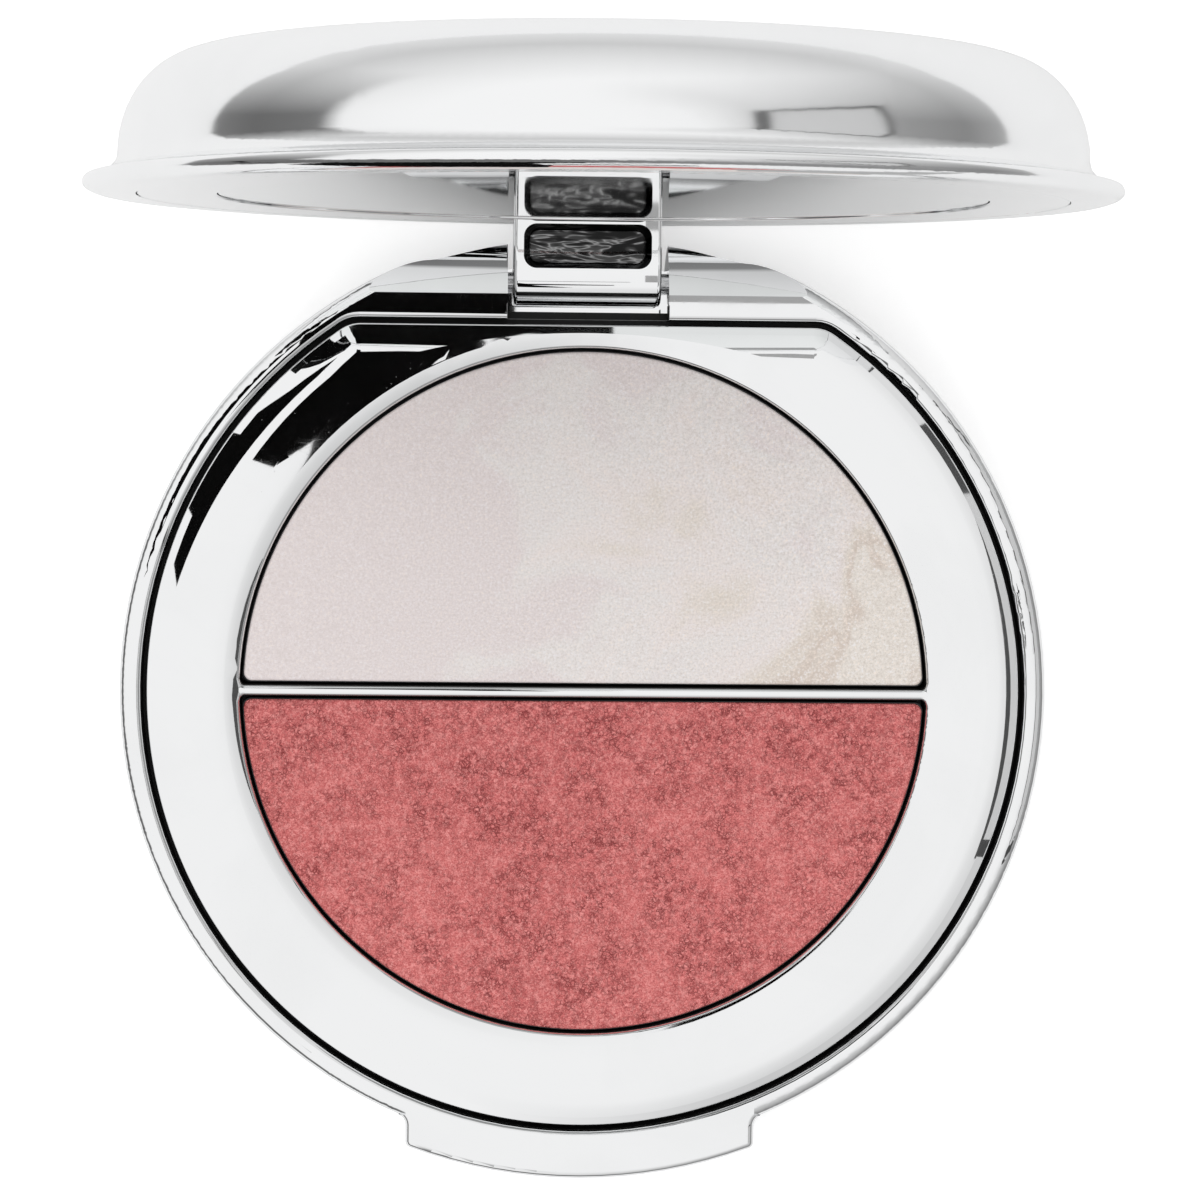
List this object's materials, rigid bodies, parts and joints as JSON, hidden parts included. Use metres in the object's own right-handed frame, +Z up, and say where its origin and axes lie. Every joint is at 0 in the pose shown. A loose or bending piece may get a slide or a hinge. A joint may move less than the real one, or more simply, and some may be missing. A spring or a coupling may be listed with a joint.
{
  "type": "powder compact",
  "caption": "Round chromed powder compact with a domed mirror lid on a friction hinge, a thumb tab, and a well split into half-moon pans of pressed powder.",
  "frame": {"origin": "centre of the base's foot, on the surface that the compact rests on", "axes": "+Z up, +Y towards the hinge, +X to the right seen from the thumb tab; the lid stands upright at rest"},
  "size_m": [0.078, 0.0926, 0.0808],
  "materials": {
    "chrome": "polished",
    "black_plastic": "matte",
    "tinplate": "satin",
    "highlighter": "satin",
    "blush": "matte",
    "glue": "matte",
    "ballast_steel": "satin",
    "magnet": "satin",
    "pin_steel": "satin",
    "label": "satin",
    "bush_plastic": "satin",
    "mirror": "polished",
    "backing": "matte"
  },
  "bodies": {
    "base": {"base_shell": "chrome", "bezel_insert": "chrome", "pan_tray": "black_plastic", "highlighter_pan": "tinplate", "blush_pan": "tinplate", "highlighter_powder": "highlighter", "blush_powder": "blush", "highlighter_pan_glue": "glue", "blush_pan_glue": "glue", "base_weight": "ballast_steel", "base_magnet": "magnet", "hinge_pin": "pin_steel", "shade_label": "label"},
    "lid": {"lid_shell": "chrome", "mirror_frame": "chrome", "hinge_bush": "bush_plastic", "mirror": "mirror", "mirror_glue": "glue", "mirror_backing": "backing", "lid_magnet": "magnet"}
  },
  "joints": [
    {"name": "lid_hinge", "type": "hinge", "parent": "base", "child": "lid", "pos_m": [0, 0.0346, 0.00725], "axis": [-1, 0, 0], "range_deg": [-90, 20]}
  ]
}
